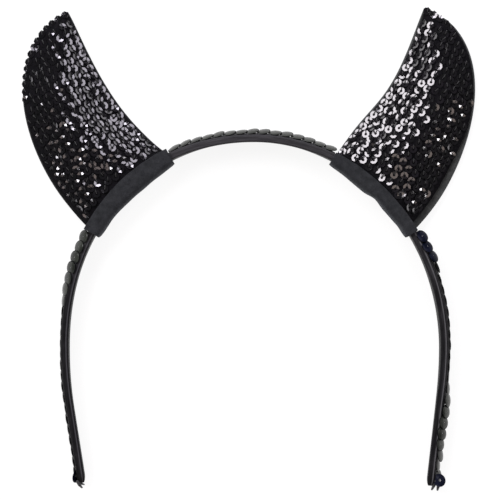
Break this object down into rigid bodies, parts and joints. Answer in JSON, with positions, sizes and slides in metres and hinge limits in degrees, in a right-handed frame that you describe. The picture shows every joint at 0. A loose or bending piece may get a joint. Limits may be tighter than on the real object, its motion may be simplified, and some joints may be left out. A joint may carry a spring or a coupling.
{
  "type": "devil horns headband",
  "caption": "Satin-covered alice band with two padded sequin horns in folded felt wraps and a trim of overlapping sequins along its outer face.",
  "frame": {"origin": "middle of the bounding box, on the ground plane that the headband lies on", "axes": "+X to the right as seen from the front, +Y from the tips of the band to its crown, +Z from the back to the front, up from the ground"},
  "size_m": [0.1646, 0.1724, 0.0144],
  "materials": {
    "satin": "black satin ribbon with a soft sheen",
    "felt": "matte charcoal felt",
    "sequin_cloth": "glossy black faceted cup sequins on black cloth",
    "trim_sequins": "glossy dark grey sequins on a thread"
  },
  "bodies": {
    "root": {"headband": "satin", "left_base_felt": "felt", "right_base_felt": "felt", "left_horn": "sequin_cloth", "right_horn": "sequin_cloth", "left_horn_backing": "felt", "right_horn_backing": "felt", "sequin_trim_left": "trim_sequins", "sequin_trim_top": "trim_sequins", "sequin_trim_right": "trim_sequins"}
  },
  "joints": []
}
